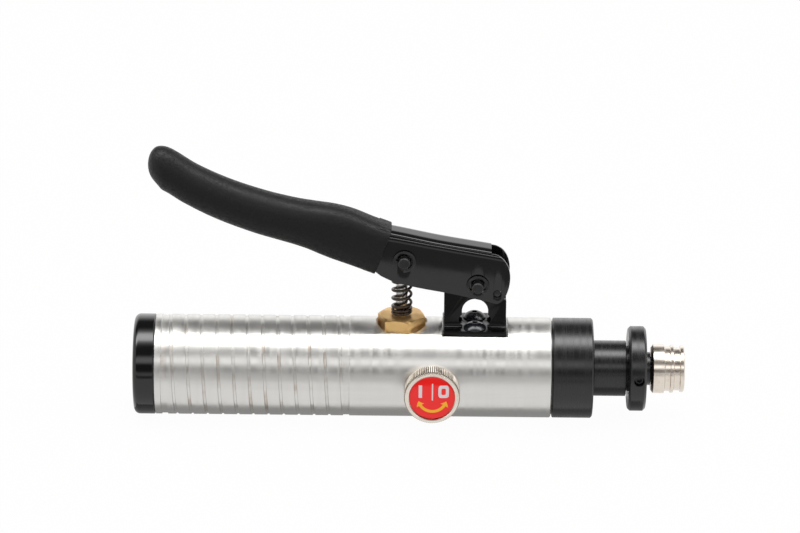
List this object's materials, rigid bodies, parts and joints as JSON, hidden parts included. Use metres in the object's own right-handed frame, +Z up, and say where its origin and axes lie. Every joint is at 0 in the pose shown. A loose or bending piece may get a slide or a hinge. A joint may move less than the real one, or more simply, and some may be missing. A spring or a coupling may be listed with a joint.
{
  "type": "hand-lever hydraulic ram tool",
  "caption": "Self-contained hand-lever hydraulic tool: round body with an oil reservoir, sprung pump lever, release knob and a spring-return ram with a grooved nose.",
  "frame": {"origin": "centre of the rear cap's flat end face, on the body's axis", "axes": "+X along the body's axis towards the ram's nose, +Z up towards the pump lever, -Y towards the release knob"},
  "size_m": [0.2747, 0.0647, 0.1424],
  "materials": {
    "turned_steel": "satin turned",
    "ground_steel": "ground",
    "spring_steel": "oiled spring wire",
    "nickel": "nickel plated",
    "brass": "turned brass",
    "black_oxide": "black oxide",
    "black_paint": "semi-gloss black",
    "black_plastic": "gloss black",
    "black_grip": "soft fine-grain black",
    "rubber": "matte",
    "red_label": "domed clear-coated red",
    "filter_mesh": "pressed mesh"
  },
  "bodies": {
    "housing": {"cylinder_body": "turned_steel", "rear_cap": "black_plastic", "rear_cap_seal": "rubber", "oil_bladder": "rubber", "bladder_plug": "black_plastic", "filler_screw": "ground_steel", "suction_filter": "filter_mesh", "inlet_valve_bush": "ground_steel", "outlet_spring": "spring_steel", "outlet_plug": "black_oxide", "gland_nut": "brass", "gland_seal": "rubber", "pump_return_spring": "spring_steel", "pivot_bracket": "black_paint", "bracket_screw_front": "black_oxide", "bracket_screw_back": "black_oxide", "spindle_seal": "rubber", "spindle_gland": "nickel", "front_head": "black_oxide", "rod_wiper": "rubber", "guide_collar": "black_oxide", "collar_set_screw": "black_oxide", "ram_return_spring": "spring_steel", "release_ball": "ground_steel"},
    "lever": {"lever_channel": "black_paint", "lever_grip": "black_grip", "pivot_pin": "black_oxide", "pivot_pin_clip_front": "black_oxide", "pivot_pin_clip_back": "black_oxide", "plunger_pin": "black_oxide", "plunger_pin_clip_front": "black_oxide", "plunger_pin_clip_back": "black_oxide", "stop_pin": "black_oxide"},
    "plunger": {"pump_plunger": "ground_steel"},
    "ram": {"ram_rod": "black_oxide", "ram_piston": "ground_steel", "piston_seal": "rubber", "piston_nut": "ground_steel", "nose_tip": "nickel"},
    "inlet_valve": {"inlet_ball": "ground_steel"},
    "outlet_valve": {"outlet_ball": "ground_steel"},
    "release_stem": {"release_spindle": "ground_steel", "release_knob": "nickel", "knob_screw": "ground_steel", "knob_label": "red_label"}
  },
  "joints": [
    {"name": "lever_swing", "type": "hinge", "parent": "housing", "child": "lever", "pos_m": [0.1708, 0, 0.0468], "axis": [0, -1, 0], "range_deg": [0, 15], "stiffness_Nm_per_rad": 2, "springref_deg": -28.65},
    {"name": "plunger_slide", "type": "slide", "parent": "housing", "child": "plunger", "axis": [0, 0, -1], "range_m": [0, 0.0099], "deforming": ["pump_return_spring"]},
    {"name": "ram_slide", "type": "slide", "parent": "housing", "child": "ram", "axis": [1, 0, 0], "range_m": [0, 0.011], "stiffness_N_per_m": 2000, "springref_m": -0.005, "deforming": ["ram_return_spring"]},
    {"name": "inlet_ball_lift", "type": "slide", "parent": "housing", "child": "inlet_valve", "axis": [1, 0, 0], "range_m": [0, 0.001]},
    {"name": "outlet_ball_lift", "type": "slide", "parent": "housing", "child": "outlet_valve", "axis": [0, 0, -1], "range_m": [0, 0.001], "stiffness_N_per_m": 10, "springref_m": -0.0005, "deforming": ["outlet_spring"]},
    {"name": "release_turn", "type": "hinge", "parent": "housing", "child": "release_stem", "pos_m": [0.1486, 0, 0], "axis": [0, -1, 0], "range_deg": [0, 150]}
  ],
  "couplings": [
    {"joint": "plunger_slide", "follows": "lever_swing", "m_per_rad": 0.037764}
  ]
}
